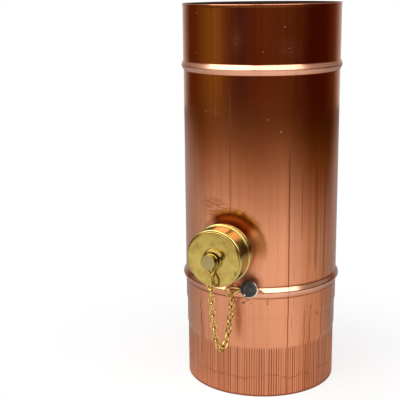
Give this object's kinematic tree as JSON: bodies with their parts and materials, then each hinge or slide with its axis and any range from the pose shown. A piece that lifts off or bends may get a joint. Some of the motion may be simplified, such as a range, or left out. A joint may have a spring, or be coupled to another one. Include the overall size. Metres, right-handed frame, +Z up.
{
  "type": "rainwater diverter",
  "caption": "Beaded copper downpipe section with a socket above, a drawn-in spigot below and a side outlet closed by a brass screw cap on a chain.",
  "frame": {"origin": "centre of the pipe's lower rim", "axes": "+Z up along the pipe's axis, -Y out of the outlet"},
  "size_m": [0.1034, 0.1351, 0.246],
  "materials": {
    "copper_sheet": null,
    "turned_brass": "turned brass, satin, slightly tarnished",
    "brass_wire": "drawn brass wire, bright",
    "rivet_metal": "dark grey tinned rivet, rough on its face",
    "black_rubber": "matt black rubber"
  },
  "bodies": {
    "diverter": {"pipe_body": "copper_sheet", "collector_trough": "copper_sheet", "outlet_nipple": "turned_brass", "chain_rivet": "rivet_metal", "wall_loop": "brass_wire"},
    "cap_swivel": {"cap_loop": "brass_wire"},
    "cap": {"screw_cap": "turned_brass", "cap_gasket": "black_rubber"},
    "chain_upper": {"chain_link_01": "brass_wire", "chain_link_02": "brass_wire", "chain_link_03": "brass_wire", "chain_link_04": "brass_wire", "chain_link_05": "brass_wire", "chain_link_06": "brass_wire", "chain_link_07": "brass_wire", "chain_link_08": "brass_wire", "chain_link_09": "brass_wire", "chain_link_10": "brass_wire", "chain_link_11": "brass_wire"},
    "chain_lower": {"chain_link_12": "brass_wire", "chain_link_13": "brass_wire", "chain_link_14": "brass_wire", "chain_link_15": "brass_wire", "chain_link_16": "brass_wire", "chain_link_17": "brass_wire", "chain_link_18": "brass_wire", "chain_link_19": "brass_wire"}
  },
  "joints": [
    {"name": "cap_slide", "type": "slide", "parent": "diverter", "child": "cap_swivel", "axis": [0, -1, 0], "range_m": [0, 0.00924]},
    {"name": "cap_turn", "type": "hinge", "parent": "cap_swivel", "child": "cap", "pos_m": [0, -0.0757, 0.098], "axis": [0, -1, 0], "range_deg": [0, 1440]},
    {"name": "upper_swing", "type": "hinge", "parent": "cap_swivel", "child": "chain_upper", "pos_m": [0, -0.0793, 0.0805], "axis": [1, 0, 0], "range_deg": [0, 6.34]},
    {"name": "lower_swing", "type": "hinge", "parent": "diverter", "child": "chain_lower", "pos_m": [0.00274, -0.05424, 0.07053], "axis": [-1, 0, 0], "range_deg": [0, 8.43]}
  ],
  "couplings": [
    {"joint": "cap_slide", "follows": "cap_turn", "m_per_rad": 0.00036749},
    {"joint": "upper_swing", "follows": "cap_turn", "ratio": 0.0043688},
    {"joint": "lower_swing", "follows": "cap_turn", "ratio": 0.0058193}
  ]
}
